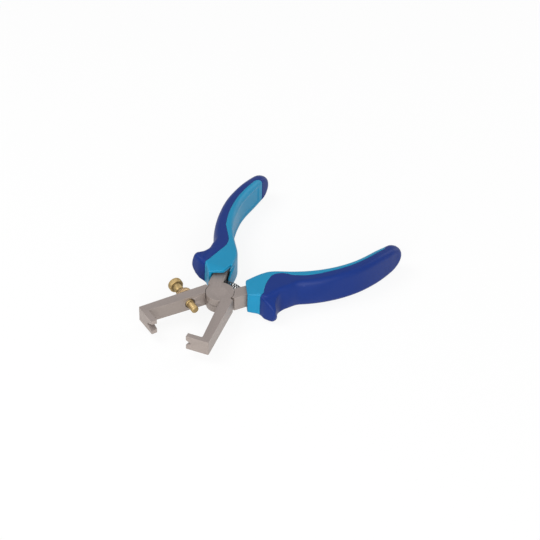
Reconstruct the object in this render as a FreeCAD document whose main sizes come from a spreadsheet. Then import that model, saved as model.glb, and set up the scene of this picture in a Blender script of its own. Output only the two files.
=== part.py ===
import FreeCAD, Part
import math
import os

import Sketcher

# Adjustable end wire stripper, 160 mm long, lying flat and held open by its spring.
# Two forged levers cross at a half-lap boss. Each one is drawn shut, with its jaw to -X,
# its arm on the +Y side and its handle on the -Y side, about a mid plane at height 0.
# The plain lever is the same pattern turned over about the X axis.
# Row frame: origin on the pivot axis at the underside of the steel head, +Z up,
# +X from the jaws to the handles. Millimetres and degrees.

os.makedirs("parts", exist_ok=True)
doc = FreeCAD.newDocument("wire_stripper")

SIZES = {
    # steel head
    "steel_thickness": 9.4,
    "boss_radius": 8.3,
    "boss_clearance": 0.3,
    "lap_gap": 0.1,
    "half_opening": 17.75,
    # arms and jaws
    "screw_jaw_reach": 47.4,
    "screw_foot_width": 3.5,
    "screw_foot_drop": 3.2,
    "plain_foot_width": 3.2,
    "plain_foot_drop": 1.9,
    "blade_gap": 0.2,
    "arm_outer_at_foot": 12.2,
    "arm_outer_at_boss": 9.9,
    "arm_inner_at_foot": 7.0,
    "arm_inner_at_root": 3.15,
    "arm_root_back": 5.0,
    "arm_shoulder_back": 3.7,
    "arm_knuckle_back": 1.85,
    "arm_knuckle_out": 4.95,
    "notch_apex": 1.3,
    "notch_half_width": 2.3,
    "notch_bevel": 0.9,
    "jaw_corner_radius": 0.8,
    # tangs
    "tang_shoulder_ahead": 4.2,
    "tang_shoulder_out": 9.5,
    "tang_knuckle_ahead": 2.1,
    "tang_knuckle_out": 4.75,
    "tang_root_ahead": 5.0,
    "tang_root_out": 1.6,
    "tang_boss_ahead": 8.2,
    "tang_inner_at_boss": 2.0,
    "tang_inner_at_mouth": 3.0,
    "tang_outer_at_mouth": 10.5,
    "tang_mouth_ahead": 15.0,
    "tang_tail_width": 4.4,
    "tang_knee": 30.0,
    "tang_inner_at_knee": 5.4,
    "tang_outer_at_knee": 12.6,
    "tang_sweep": 33.0,
    # pivot rivet
    "rivet_radius": 3.0,
    "rivet_head_radius": 4.2,
    "rivet_head_height": 1.2,
    "running_clearance": 0.05,
    # return spring
    "spring_reach": 13.3,
    "spring_coil_radius": 1.6,
    "spring_wire": 0.7,
    "spring_turns": 11.0,
    "spring_seat_radius": 2.35,
    "spring_seat_depth": 3.0,
    "spring_seat_ahead": 14.0,
    "spring_end_gap": 0.35,
    # adjusting screw and lock nut
    "screw_back": 17.25,
    "thread_radius": 2.5,
    "dog_radius": 2.05,
    "dog_length": 6.0,
    "dog_bevel": 0.8,
    "thread_inside": 7.2,
    "thread_length": 13.0,
    "neck_radius": 2.0,
    "screw_length": 28.0,
    "knob_radius": 4.4,
    "knob_thickness": 3.0,
    "nut_radius": 4.5,
    "nut_thickness": 3.4,
    "nut_gap": 0.05,
    "screw_hole_length": 16.0,
    "arm_thickness_at_screw": 6.15,
    "recess_radius": 3.0,
    "recess_narrow_radius": 2.6,
    "recess_depth": 1.0,
    "recess_mouth": 0.6,
    # handles, traced in plan as lines and tangent arcs
    "grip_front": 9.0,
    "grip_inner": 0.5,
    "grip_outer": 20.4,
    "grip_height": 20.0,
    "grip_round": 3.4,
    "handle_width": 9.8,
    "inner_bend_start": 21.0,
    "inner_bend_radius": 30.0,
    "inner_drop": 33.0,
    "drop_length": 6.1,
    "inner_sweep_radius": 72.0,
    "inner_sweep_turn": 40.3,
    "outer_bend_start": 38.0,
    "outer_bend_radius": 10.0,
    "outer_drop": 27.0,
    "outer_sweep_gain": 6.0,
    "outer_sweep_turn": 39.8,
    "tip_ahead": 111.2,
    # collar and its mouth
    "mouth_height": 13.8,
    "collar_height": 17.4,
    "taper_length": 70.0,
    "collar_outer": 10.3,
    "flare_ahead": 17.4,
    "flare_out": 17.2,
    "flare_lip": 2.0,
    "mouth_inner_ahead": 17.4,
    "mouth_outer_ahead": 11.0,
    "mouth_inner_lip": 0.5,
    "mouth_outer_lip": 13.0,
    "mouth_relief": 1.0,
    "wall_gap": 1.2,
    "relief_front": 10.0,
    "relief_inner_at_front": 2.4,
    "relief_inner_at_end": 4.3,
    "relief_outer_at_front": 10.7,
    "relief_outer_at_end": 11.9,
    "window_front": 12.0,
    "window_rise": 2.6,
    "window_end": 24.8,
    "window_height": 5.7,
    "window_depth": 9.0,
    # thumb guard
    "guard_reach": 27.5,
    "guard_root": 15.5,
    "guard_rise": 7.4,
    "guard_drop": 8.2,
    "guard_tip_ahead": 21.6,
    "guard_tip_radius": 2.2,
    "guard_round": 1.6,
    "guard_front": 16.6,
    "guard_front_out": 17.0,
    "guard_shin_ahead": 17.3,
    "guard_shin_out": 21.6,
    "guard_heel_ahead": 25.7,
    "guard_heel_out": 22.9,
    "guard_hollow_ahead": 28.2,
    "guard_hollow_out": 20.6,
    "guard_back": 32.5,
    "guard_back_out": 19.5,
    "guard_dome_inset": 3.9,
    "guard_dome_drop": 2.8,
    "guard_dome_level": 0.6,
    # core and sleeve
    "tang_fit": 0.1,
    "core_wall": 1.3,
    "panel_depth": 0.5,
    "panel_height": 12.0,
    "panel_tail": 8.0,
    "panel_short": 3.0,
}

STEPS_PER_TURN = 8
TANG_STEPS = 5

# A cutting outline runs this far past the surface it opens, and a cut right across a handle
# is as wide as the handle is long.
BEYOND = 2.0
ACROSS = "tip_ahead"

# Two places nearer than SAME are one; an edge is clear of a limit once CLEAR lies between them.
SAME = 0.001
CLEAR = 0.1

MEANINGS = {
    "half_opening": "each lever is turned out this far from shut",
    "notch_apex": "how far each V notch runs past the centre line",
    "screw_jaw_reach": "pivot to the front of the longer jaw",
    "inner_drop": "angle by which a handle's inner side runs outwards behind its collar",
    "inner_sweep_turn": "angle through which the inner side sweeps back inwards",
    "outer_sweep_gain": "how much more the outer side's sweep radius is than the inner side's",
    "tip_ahead": "reach of the rounded tip, measured along the inner side's straight end",
}

# Seam between the light core and the dark sleeve of a grip: start, then the middle and the
# end of each arc. Each side of a handle has its own front part; both share the rest.
SEAM_START = (16.5, -17.3)
SEAM_ABOVE = (((18.9, -17.0), (20.8, -15.2)), ((25.3, -10.7), (31.5, -7.0)), ((36.4, -8.0), (41.0, -12.4)),
              ((47.0, -17.0), (54.0, -19.9)))
SEAM_BELOW = (((26.0, -14.9), (34.6, -12.3)), ((39.6, -12.2), (43.2, -13.4)), ((48.5, -16.6), (54.0, -19.9)))
SEAM_TAIL = (((75.5, -23.9), (97.0, -22.1)), ((101.6, -20.4), (103.6, -16.0)))

# Corners that close the core's share of a grip past the handle's inner side and its mouth.
SHARE_CORNERS = ((103.9, 3.0), (5.0, 3.0), (5.0, -21.5))


def build_sheet():
    """Write the driving sizes into a spreadsheet, one alias to a row."""
    sheet = doc.addObject("Spreadsheet::Sheet", "Sizes")
    for row, (alias, number) in enumerate(SIZES.items(), start=1):
        sheet.set(f"A{row}", alias.replace("_", " "))
        sheet.set(f"B{row}", str(number))
        sheet.setAlias(f"B{row}", alias)
        sheet.set(f"C{row}", MEANINGS.get(alias, ""))
    doc.recompute()


def words(text):
    return text.replace("-", " - ").replace("+", " + ").split()


def bound(text):
    """Turn a sum of size names into an expression on the sheet."""
    return " ".join(f"Sizes.{word}" if word in SIZES else word for word in words(text))


def amount(text):
    """Work out a sum of size names and numbers."""
    total, sign = 0.0, 1.0
    for word in words(text):
        if word in "+-":
            sign = -1.0 if word == "-" else 1.0
        else:
            total += sign * (SIZES[word] if word in SIZES else float(word))
            sign = 1.0
    return total


def origin_plane(body, role):
    return next(feature for feature in body.Origin.OriginFeatures if feature.Role == role)


def new_body(label):
    body = doc.addObject("PartDesign::Body", label)
    body.Label = label
    return body


def new_sketch(body, name, role="XY_Plane", offset="0"):
    """Add a sketch on one of the body's own origin planes, moved along its normal."""
    sketch = body.newObject("Sketcher::SketchObject", name)
    sketch.AttachmentSupport = [(origin_plane(body, role), "")]
    sketch.MapMode = "FlatFace"
    sketch.setExpression("AttachmentOffset.Base.z", bound(offset))
    return sketch


def polygon(sketch, corners):
    """Draw a closed outline and tie each corner to the sizes that place it."""
    places = [FreeCAD.Vector(amount(x), amount(y), 0) for x, y in corners]
    count = len(places)
    lines = [Part.LineSegment(places[i], places[(i + 1) % count]) for i in range(count)]
    sketch.addGeometry(lines, False)
    for i, (x, y) in enumerate(corners):
        sketch.addConstraint(Sketcher.Constraint("Coincident", i, 2, (i + 1) % count, 1))
        for kind, text, number in (("DistanceX", x, places[i].x), ("DistanceY", y, places[i].y)):
            index = sketch.addConstraint(Sketcher.Constraint(kind, -1, 1, i, 1, number))
            if any(word in SIZES for word in words(text)):
                sketch.setExpression(f"Constraints[{index}]", bound(text))
    return sketch


def circle(sketch, radius):
    """Draw a circle on the sketch's origin, its radius tied to the sheet."""
    ring = Part.Circle(FreeCAD.Vector(0, 0, 0), FreeCAD.Vector(0, 0, 1), amount(radius))
    sketch.addGeometry(ring, False)
    sketch.addConstraint(Sketcher.Constraint("Coincident", 0, 3, -1, 1))
    index = sketch.addConstraint(Sketcher.Constraint("Radius", 0, amount(radius)))
    sketch.setExpression(f"Constraints[{index}]", bound(radius))
    return sketch


def outline(sketch, pieces):
    """Draw an outline of lines and arcs, closed with a line if its ends are apart."""
    first, last = pieces[0].StartPoint, pieces[-1].EndPoint
    if (first - last).Length > SAME:
        pieces = pieces + [Part.LineSegment(last, first)]
    sketch.addGeometry(pieces, False)
    return sketch


def arcs(start, steps):
    """Chain of arcs, each given by its middle and its end."""
    pieces = []
    here = FreeCAD.Vector(*start, 0)
    for middle, end in steps:
        there = FreeCAD.Vector(*end, 0)
        pieces.append(Part.Arc(here, FreeCAD.Vector(*middle, 0), there))
        here = there
    return pieces


def lines(*corners):
    """Chain of straight lines through plan points."""
    places = [FreeCAD.Vector(x, y, 0) for x, y in corners]
    return [Part.LineSegment(a, b) for a, b in zip(places, places[1:])]


def extrude(body, kind, name, sketch, length, symmetric=True, reverse=False):
    """Pad or pocket a sketch by a length from the sheet."""
    feature = body.newObject(f"PartDesign::{kind}", name)
    feature.Profile = sketch
    feature.setExpression("Length", bound(length))
    feature.SideType = "Symmetric" if symmetric else "One side"
    feature.Reversed = reverse
    doc.recompute()
    return feature


def drill(body, name, radius, depth, mouth, direction):
    """Bore a round hole from its mouth into the body along a direction."""
    hole = body.newObject("PartDesign::SubtractiveCylinder", name)
    hole.setExpression("Radius", bound(radius))
    hole.setExpression("Height", bound(depth))
    hole.Placement = FreeCAD.Placement(mouth, FreeCAD.Rotation(FreeCAD.Vector(0, 0, 1), direction))
    doc.recompute()
    return hole


def countersink(body, name, wide, narrow, depth, mouth, direction):
    """Sink a conical seat that narrows along a direction."""
    cone = body.newObject("PartDesign::SubtractiveCone", name)
    cone.setExpression("Radius1", bound(wide))
    cone.setExpression("Radius2", bound(narrow))
    cone.setExpression("Height", bound(depth))
    cone.Placement = FreeCAD.Placement(mouth, FreeCAD.Rotation(FreeCAD.Vector(0, 0, 1), direction))
    doc.recompute()
    return cone


def trace(start, heading, moves):
    """Follow lines and tangent arcs from a point; return the pieces, the end and its heading."""
    x, y = start
    heading = math.radians(heading)
    pieces = []
    for move, size, turn in moves:
        here = FreeCAD.Vector(x, y, 0)
        if move == "line":
            there = here + FreeCAD.Vector(math.cos(heading), math.sin(heading), 0) * size
            pieces.append(Part.LineSegment(here, there))
        else:
            side = math.copysign(size, turn)
            centre = here + FreeCAD.Vector(-math.sin(heading), math.cos(heading), 0) * side
            middle, there = (centre + FreeCAD.Vector(math.sin(heading + math.radians(angle)),
                                                     -math.cos(heading + math.radians(angle)), 0) * side
                             for angle in (turn / 2, turn))
            pieces.append(Part.Arc(here, middle, there))
            heading += math.radians(turn)
        x, y = there.x, there.y
    return pieces, (x, y), math.degrees(heading)


def inner_start():
    return amount("grip_front"), -amount("grip_inner")


def lead_in():
    """Inner side of a handle from the collar to where it sweeps back."""
    return [("line", amount("inner_bend_start - grip_front"), 0),
            ("arc", amount("inner_bend_radius"), -amount("inner_drop")), ("line", amount("drop_length"), 0)]


def trace_past_tip(start, moves):
    """Trace one side of a handle in plan and run it on straight until it has passed the tip."""
    _, place, heading = trace(start, 0.0, moves)
    tip_way = math.radians(amount("inner_sweep_turn - inner_drop"))
    reach = place[0] * math.cos(tip_way) + place[1] * math.sin(tip_way)
    tail = (amount("tip_ahead") + BEYOND - reach) / math.cos(math.radians(heading) - tip_way)
    return trace(start, 0.0, moves + [("line", tail, 0)])


def inner_side():
    """Plan course of a handle's inner side, from the collar to beyond the tip."""
    return trace_past_tip(inner_start(), lead_in() + [
        ("arc", amount("inner_sweep_radius"), amount("inner_sweep_turn"))])


def outer_side():
    """Plan course of a handle's outer side, from the flare to beyond the tip."""
    start = (amount("flare_ahead + flare_lip"), -amount("grip_outer"))
    return trace_past_tip(start, [("line", amount("outer_bend_start") - start[0], 0),
                                  ("arc", amount("outer_bend_radius"), -amount("outer_drop")),
                                  ("arc", amount("inner_sweep_radius + outer_sweep_gain"),
                                   amount("outer_sweep_turn"))])


def tang_corners(grow=0.0):
    """Plan outline of the tang; grow widens it for the pocket that takes it."""
    _, place, heading = trace(inner_start(), 0.0, lead_in())
    outline_in, outline_out = [], []
    half = amount("tang_tail_width") / 2 + grow
    middle = amount("handle_width") / 2
    radius = amount("inner_sweep_radius")
    for step in range(TANG_STEPS + 1):
        turn = (amount("tang_sweep") + math.degrees(grow / radius)) * step / TANG_STEPS
        for course, depth in ((outline_in, middle - half), (outline_out, middle + half)):
            side = math.radians(heading)
            begin = (place[0] + depth * math.sin(side), place[1] - depth * math.cos(side))
            x, y = trace(begin, heading, [("arc", radius + depth, turn)])[1] if turn else begin
            course.append((f"{x:.4f}", f"{y:.4f}"))
    return ([("tang_mouth_ahead", f"{grow} - tang_inner_at_mouth"), ("tang_knee", f"{grow} - tang_inner_at_knee")]
            + outline_in + outline_out[::-1]
            + [("tang_knee", f"-tang_outer_at_knee - {grow}"), ("tang_mouth_ahead", f"-tang_outer_at_mouth - {grow}")])


def lever_pattern(label, front, foot_width, foot_drop, bevel_front):
    """Forging shared by both levers: jaw foot, arm, half-lap boss and tang."""
    body = new_body(label)
    arm = polygon(new_sketch(body, f"{label}_arm_outline"), [
        (front, f"-{foot_drop}"),
        (front, "arm_outer_at_foot"),
        ("-arm_shoulder_back", "arm_outer_at_boss"),
        ("-arm_knuckle_back", "arm_knuckle_out"),
        ("-arm_root_back", "arm_inner_at_root"),
        (f"{front} + {foot_width}", "arm_inner_at_foot"),
        (f"{front} + {foot_width}", f"-{foot_drop}"),
    ])
    extrude(body, "Pad", f"{label}_arm", arm, "steel_thickness")
    tang = polygon(new_sketch(body, f"{label}_tang_outline"),
                   [("tang_root_ahead", "-tang_root_out"), ("tang_boss_ahead", "-tang_inner_at_boss")]
                   + tang_corners()
                   + [("tang_shoulder_ahead", "-tang_shoulder_out"), ("tang_knuckle_ahead", "-tang_knuckle_out")])
    extrude(body, "Pad", f"{label}_tang", tang, "steel_thickness")
    disc = circle(new_sketch(body, f"{label}_boss_outline"), "boss_radius")
    extrude(body, "Pad", f"{label}_boss", disc, "steel_thickness")
    lap = circle(new_sketch(body, f"{label}_lap_outline", offset="-lap_gap"), "boss_radius + boss_clearance")
    extrude(body, "Pocket", f"{label}_lap", lap, "steel_thickness", symmetric=False, reverse=True)
    round_jaw_corners(body, label, front, foot_width)
    cut_notch(body, label, front, foot_width, foot_drop, bevel_front)
    cut_spring_seat(body, label)
    return body


def fillet_edges(body, name, radius, wanted):
    """Round every edge of the body whose bounding box answers to the wanted test."""
    base = body.Tip
    names = [f"Edge{index}" for index, edge in enumerate(base.Shape.Edges, start=1) if wanted(edge.BoundBox)]
    fillet = body.newObject("PartDesign::Fillet", name)
    fillet.Base = (base, names)
    fillet.setExpression("Radius", bound(radius))
    doc.recompute()


def round_jaw_corners(body, label, front, foot_width):
    """Round the upright edges where the arm turns into the jaw foot."""
    corners = ((amount(front), amount("arm_outer_at_foot")),
               (amount(f"{front} + {foot_width}"), amount("arm_inner_at_foot")))
    fillet_edges(body, f"{label}_jaw_corners", "jaw_corner_radius",
                 lambda box: any(math.hypot(box.Center.x - x, box.Center.y - y) < CLEAR for x, y in corners))


def cut_notch(body, label, front, foot_width, foot_drop, bevel_front):
    """Cut the V notch, sharp on the shearing face and opened by a bevel on the other."""
    beyond = "1.0"
    sharp = [("notch_apex", "0"), (f"-{foot_drop} - {beyond}", "notch_half_width"),
             (f"-{foot_drop} - {beyond}", "-notch_half_width")]
    wide = [("notch_apex + notch_bevel", "0"), (f"-{foot_drop} - {beyond}", "notch_half_width + notch_bevel"),
            (f"-{foot_drop} - {beyond}", "-notch_half_width - notch_bevel")]
    at_front, at_back = (wide, sharp) if bevel_front else (sharp, wide)
    first = polygon(new_sketch(body, f"{label}_notch_front", "YZ_Plane", front), at_front)
    second = polygon(new_sketch(body, f"{label}_notch_back", "YZ_Plane", f"{front} + {foot_width}"), at_back)
    notch = body.newObject("PartDesign::SubtractiveLoft", f"{label}_notch")
    notch.Profile = first
    notch.Sections = [second]
    notch.Ruled = True
    doc.recompute()


def seat_axis():
    """Mouth and direction of a spring seat, square to the arc that the spring follows."""
    reach = amount("spring_reach")
    boss = amount("tang_boss_ahead")
    share = (amount("spring_seat_ahead") - boss) / (amount("tang_mouth_ahead") - boss)
    face = amount("tang_inner_at_boss") * (1 - share) + amount("tang_inner_at_mouth") * share
    angle = -math.asin(face / reach)
    mouth = FreeCAD.Vector(reach * math.cos(angle), reach * math.sin(angle), 0)
    return mouth, FreeCAD.Vector(-math.sin(angle), math.cos(angle), 0)


def cut_spring_seat(body, label):
    """Blind hole in the tang's inner side that holds one end of the spring."""
    mouth, outward = seat_axis()
    depth = amount("spring_seat_depth")
    drill(body, f"{label}_spring_seat", "spring_seat_radius", f"spring_seat_depth + {BEYOND}",
          mouth - outward * depth, outward)


def screw_axis():
    """Point where the adjusting screw leaves the arm's outer side, and its outward direction."""
    slope = amount("arm_outer_at_foot - arm_outer_at_boss") / amount("screw_jaw_reach - arm_shoulder_back")
    out = amount("arm_outer_at_boss") + slope * amount("screw_back - arm_shoulder_back")
    return FreeCAD.Vector(-amount("screw_back"), out, 0), FreeCAD.Vector(slope, 1.0, 0).normalize()


def build_levers():
    """Two levers from one pattern; only one of them takes the adjusting screw."""
    up, down = FreeCAD.Vector(0, 0, 1), FreeCAD.Vector(0, 0, -1)
    bottom = FreeCAD.Vector(0, 0, -amount("steel_thickness") / 2)
    screw_lever = lever_pattern("screw_lever", "-screw_jaw_reach", "screw_foot_width", "screw_foot_drop", True)
    face, outward = screw_axis()
    drill(screw_lever, "screw_hole", "thread_radius + running_clearance", "screw_hole_length",
          face + outward * 2 * BEYOND, -outward)
    countersink(screw_lever, "screw_recess", "recess_radius + recess_mouth", "recess_narrow_radius",
                "recess_depth + recess_mouth", face - outward * amount("arm_thickness_at_screw + recess_mouth"),
                outward)
    drill(screw_lever, "rivet_bore", "rivet_radius", "steel_thickness", bottom, up)
    countersink(screw_lever, "rivet_seat", "rivet_head_radius", "rivet_radius", "rivet_head_height", bottom, up)
    plain_lever = lever_pattern("plain_lever", "screw_foot_width + blade_gap - screw_jaw_reach",
                                "plain_foot_width", "plain_foot_drop", False)
    drill(plain_lever, "turning_bore", "rivet_radius + running_clearance", "steel_thickness", bottom, up)
    countersink(plain_lever, "turning_seat", "rivet_head_radius + running_clearance",
                "rivet_radius + running_clearance", "rivet_head_height + running_clearance", bottom, up)
    return screw_lever, plain_lever


def revolved(label, profile):
    """Turned piece: a half profile of radius and height, spun about its own Z axis."""
    body = new_body(label)
    sketch = polygon(new_sketch(body, f"{label}_profile", "XZ_Plane"), profile)
    turned = body.newObject("PartDesign::Revolution", f"{label}_turned")
    turned.Profile = sketch
    turned.ReferenceAxis = (next(f for f in body.Origin.OriginFeatures if f.Role == "Z_Axis"), [""])
    turned.Angle = 360.0
    doc.recompute()
    return body


def build_rivet():
    """Pivot rivet with both heads closed flush into their seats."""
    half = amount("steel_thickness") / 2
    sink = half - amount("rivet_head_height")
    return revolved("pivot_rivet", [
        ("0", f"-{half}"), ("rivet_head_radius", f"-{half}"), ("rivet_radius", f"-{sink}"),
        ("rivet_radius", f"{sink}"), ("rivet_head_radius", f"{half}"), ("0", f"{half}")])


def build_screw():
    """Adjusting screw: knob, neck, threaded length and dog point, height 0 at the arm's outer side."""
    low = "0 - thread_inside"
    high = "screw_length - dog_length - thread_inside"
    return revolved("adjusting_screw", [
        ("0", f"{low} - dog_length"), ("dog_radius - dog_bevel", f"{low} - dog_length"),
        ("dog_radius", f"{low} - dog_length + dog_bevel"), ("dog_radius", low),
        ("thread_radius", low), ("thread_radius", f"{low} + thread_length"),
        ("neck_radius", f"{low} + thread_length"), ("neck_radius", f"{high} - knob_thickness"),
        ("knob_radius", f"{high} - knob_thickness"), ("knob_radius", high), ("0", high)])


def build_nut():
    """Round lock nut that clamps the screw against the arm's outer side."""
    bore = "thread_radius + running_clearance"
    return revolved("lock_nut", [(bore, "nut_gap"), ("nut_radius", "nut_gap"),
                                 ("nut_radius", "nut_gap + nut_thickness"), (bore, "nut_gap + nut_thickness")])


def build_spring():
    """Coil wound along an arc about the pivot, from one tang's seat to the other's."""
    reach = amount("spring_reach")
    coil = amount("spring_coil_radius")
    mouth, _ = seat_axis()
    face = math.atan2(-mouth.y, mouth.x) + math.radians(amount("half_opening"))
    end = face + (amount("spring_seat_depth") - amount("spring_end_gap") - amount("spring_wire") / 2) / reach
    turns = amount("spring_turns")
    steps = int(turns * STEPS_PER_TURN)
    points = []
    for step in range(steps + 1):
        share = step / steps
        along = -end + 2 * end * share
        wind = 2 * math.pi * turns * share
        out = reach + coil * math.cos(wind)
        points.append(FreeCAD.Vector(out * math.cos(along), out * math.sin(along), coil * math.sin(wind)))
    path = Part.makePolygon(points)
    turn = FreeCAD.Rotation(FreeCAD.Vector(0, 0, 1), points[1] - points[0])
    radius = amount("spring_wire") / 2
    corners = []
    for quarter in range(5):
        angle = math.radians(45 + 90 * quarter)
        corner = FreeCAD.Vector(radius * math.cos(angle), radius * math.sin(angle), 0)
        corners.append(points[0] + turn.multVec(corner))
    spring = doc.addObject("Part::Feature", "return_spring")
    spring.Label = "return_spring"
    spring.Shape = path.makePipeShell([Part.makePolygon(corners)], True, True, 1)
    return spring


def round_tip(body, heading):
    """Round the handle's end in side view, square to the straight end of its inner side."""
    radius = amount("grip_height") / 2
    centre = amount("tip_ahead") - radius
    beyond = amount("tip_ahead + handle_width")
    profile = new_sketch(body, "tip_profile", "XZ_Plane")
    profile.AttachmentOffset = FreeCAD.Placement(
        FreeCAD.Vector(0, 0, 0), FreeCAD.Rotation(FreeCAD.Vector(0, 1, 0), heading))
    outline(profile, arcs((centre, radius), [((centre + radius, 0), (centre, -radius))])
            + lines((centre, -radius), (centre, -radius - BEYOND), (beyond, -radius - BEYOND),
                    (beyond, radius + BEYOND), (centre, radius + BEYOND)))
    extrude(body, "Pocket", "tip_end", profile, ACROSS)


def taper_collar(body):
    """Thin the handle towards its mouth, steeply over the mouth itself."""
    front = amount("grip_front") - BEYOND
    high = amount("grip_height") / 2
    taper = new_sketch(body, "collar_taper", "XZ_Plane")
    for side in (1, -1):
        outline(taper, lines((front, side * amount("mouth_height") / 2),
                             (amount("flare_ahead"), side * amount("collar_height") / 2),
                             (amount("taper_length"), side * high),
                             (amount("taper_length"), side * (high + BEYOND)), (front, side * (high + BEYOND))))
    extrude(body, "Pocket", "collar_taper_cut", taper, ACROSS)


def build_handle(body):
    """Swept handle with a rounded tip and rounded long edges, thinning towards the collar."""
    inner, inner_end, heading = inner_side()
    outer, outer_end, _ = outer_side()
    flare = amount("flare_ahead + flare_lip")
    plan = new_sketch(body, "handle_plan")
    plan.addGeometry(inner + lines(inner_end, outer_end) + outer[::-1] + lines(
        (flare, -amount("grip_outer")), (amount("flare_ahead"), -amount("flare_out")),
        (amount("grip_front"), -amount("collar_outer")), inner_start()), False)
    extrude(body, "Pad", "handle", plan, "grip_height")
    round_tip(body, heading)
    height = amount("grip_height")

    def long_edge(box):
        along = box.ZLength < SAME and box.XLength > box.YLength
        behind = box.XMax > flare + CLEAR or box.YLength < SAME
        around_tip = box.ZLength > height - CLEAR and box.XLength > height / 4
        return around_tip or along and behind

    fillet_edges(body, "handle_rounding", "grip_round", long_edge)
    taper_collar(body)


def build_guard():
    """Thumb guard: a fin on the outer side, domed towards one face and nearly square to the other."""
    body = new_body("guard_form")
    tip, reach, radius = amount("guard_tip_ahead"), amount("guard_reach"), amount("guard_tip_radius")
    root, rise = amount("guard_root"), amount("guard_rise")
    top = -reach + radius
    front = (tip - radius * 0.9, top - radius * 0.4)
    back = (tip + radius * 0.95, top)
    foot, shin, heel, hollow, rear = (
        (amount(f"guard_{name}"), -amount(f"guard_{out}")) for name, out in
        (("front", "front_out"), ("shin_ahead", "shin_out"), ("heel_ahead", "heel_out"),
         ("hollow_ahead", "hollow_out"), ("back", "back_out")))
    plan = new_sketch(body, "guard_plan", offset="-guard_drop")
    outline(plan, lines((foot[0], -root), foot, shin, front) + arcs(front, [((tip, -reach), back)])
            + lines(back, heel) + arcs(heel, [(hollow, rear)]) + lines(rear, (rear[0], -root)))
    extrude(body, "Pad", "guard", plan, "guard_drop + guard_rise", symmetric=False)
    level = -amount("guard_drop")
    fillet_edges(body, "guard_lower_edge", "guard_round",
                 lambda box: box.ZLength < SAME and abs(box.ZMin - level) < SAME and box.YMax < -root - CLEAR)
    dome = new_sketch(body, "guard_section", "YZ_Plane", "guard_tip_ahead")
    edge = (-reach, -amount("guard_dome_level"))
    crown = (-reach + amount("guard_dome_inset"), rise - amount("guard_dome_drop"))
    outline(dome, arcs((-root, rise), [(crown, edge)])
            + lines(edge, (edge[0] - BEYOND, edge[1]), (edge[0] - BEYOND, rise + BEYOND), (-root, rise + BEYOND)))
    extrude(body, "Pocket", "guard_dome", dome, ACROSS)
    return body


def open_mouth(body):
    """Cut the collar off obliquely, sink the tang's pocket and open the window in the inner wall."""
    plan = new_sketch(body, "mouth_plan")
    front, inner, outer = amount("grip_front") - BEYOND, amount("mouth_inner_lip"), -amount("mouth_outer_lip")
    outline(plan, lines((front, inner), (amount("mouth_inner_ahead"), inner), (amount("mouth_outer_ahead"), outer),
                        (front, outer)))
    extrude(body, "Pocket", "mouth", plan, f"grip_height + {BEYOND}")
    pocket = polygon(new_sketch(body, "tang_pocket_plan"), tang_corners(amount("tang_fit")))
    extrude(body, "Pocket", "tang_pocket", pocket, "steel_thickness + tang_fit + tang_fit")
    relief = new_sketch(body, "mouth_relief_plan")
    start, end = amount("relief_front"), amount("window_end")
    outline(relief, lines((start, amount("wall_gap - relief_inner_at_front")),
                          (end, amount("wall_gap - relief_inner_at_end")),
                          (end, -amount("relief_outer_at_end")), (start, -amount("relief_outer_at_front"))))
    extrude(body, "Pocket", "mouth_gap", relief, "steel_thickness + mouth_relief + mouth_relief")
    window = new_sketch(body, "window_side", "XZ_Plane")
    low = -amount("window_height")
    outline(window, lines((end, low), (amount("window_front"), amount("window_rise")),
                          (amount("window_front"), low)))
    extrude(body, "Pocket", "window", window, "window_depth")


def sink_panel(body):
    """Shallow panel along the inner side, stopped short of the collar and of the tip."""
    _, start, heading = trace(inner_start(), 0.0, lead_in())
    short = amount("panel_short")
    courses = []
    for depth in (-amount("panel_depth"), amount("panel_depth")):
        radius = amount("inner_sweep_radius") + depth
        out = math.radians(heading)
        begin = (start[0] + depth * math.sin(out), start[1] - depth * math.cos(out))
        _, place, way = trace(begin, heading, [("arc", radius, short)])
        course, end, _ = trace(place, way, [("arc", radius, amount("inner_sweep_turn") - short),
                                            ("line", amount("panel_tail"), 0)])
        courses.append((course, place, end))
    (near, near_start, near_end), (far, far_start, far_end) = courses
    plan = new_sketch(body, "panel_plan")
    plan.addGeometry(near + lines(near_end, far_end) + far + lines(far_start, near_start), False)
    extrude(body, "Pocket", "panel", plan, "panel_height")


def build_grip_form():
    """Whole grip of one handle before it is shared out between core and sleeve."""
    body = new_body("handle_form")
    build_handle(body)
    open_mouth(body)
    sink_panel(body)
    form = doc.addObject("Part::Fuse", "grip_form")
    form.Base = body
    form.Tool = build_guard()
    doc.recompute()
    return form


def build_core_share():
    """Space that the light core takes: inside of the seam, and a wall all round the tang."""
    body = new_body("core_share")
    for name, front, down in (("above", SEAM_ABOVE, False), ("below", SEAM_BELOW, True)):
        seam = arcs(SEAM_START, front + SEAM_TAIL)
        plan = new_sketch(body, f"share_{name}")
        outline(plan, seam + lines(SEAM_TAIL[-1][1], *SHARE_CORNERS, SEAM_START))
        extrude(body, "Pad", f"share_{name}_pad", plan, "grip_height", symmetric=False, reverse=down)
    grow = amount("tang_fit + core_wall")
    around = polygon(new_sketch(body, "tang_wall_plan"), tang_corners(grow))
    extrude(body, "Pad", "tang_wall", around, "steel_thickness + core_wall + core_wall + tang_fit + tang_fit")
    return body


def build_grips(places):
    """Core and sleeve of each handle; both handles share one form."""
    form, share = build_grip_form(), build_core_share()
    grips = []
    for side, place in places:
        for piece, kind in (("core", "Common"), ("sleeve", "Cut")):
            grip = doc.addObject(f"Part::{kind}", f"{side}_grip_{piece}")
            grip.Base = form
            grip.Tool = share
            grip.Label = f"{side}_grip_{piece}"
            grip.setExpression("Placement", place)
            grips.append(grip)
    doc.recompute()
    return grips


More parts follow.
